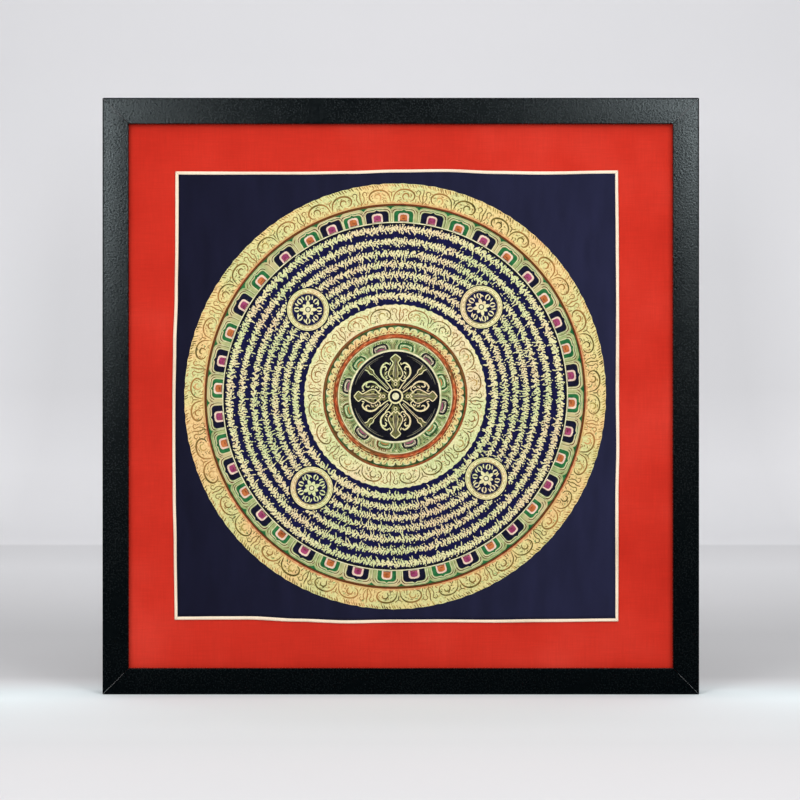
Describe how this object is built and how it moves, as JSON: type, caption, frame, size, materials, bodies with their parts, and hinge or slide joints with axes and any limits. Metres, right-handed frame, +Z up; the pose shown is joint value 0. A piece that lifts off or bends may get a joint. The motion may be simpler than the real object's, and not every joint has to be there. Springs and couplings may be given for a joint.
{
  "type": "mandala thangka painting on a red cloth mount in a wooden picture frame",
  "caption": "Square mandala painting on dark blue cotton with cream edging, laid on a red cloth mount and held in a plain black wooden frame that stands on its bottom rail.",
  "frame": {"origin": "on the surface the frame stands on, under the middle of its bottom rail", "axes": "+Z up, +Y out of the back of the frame, so the painting faces -Y, and +X to the right as it is seen from the front"},
  "size_m": [0.548, 0.032, 0.548],
  "materials": {
    "black_wood": "satin black paint",
    "red_cloth": "matte woven",
    "navy_canvas": "matte painted cotton",
    "cream_cloth": "matte woven",
    "brown_board": "bare hardboard"
  },
  "bodies": {
    "root": {"rail_bottom": "black_wood", "rail_top": "black_wood", "stile_left": "black_wood", "stile_right": "black_wood", "mount_cloth_red": "red_cloth", "painted_canvas": "navy_canvas", "edging_left": "cream_cloth", "edging_right": "cream_cloth", "edging_bottom": "cream_cloth", "edging_top": "cream_cloth", "backing_board": "brown_board"}
  },
  "joints": []
}
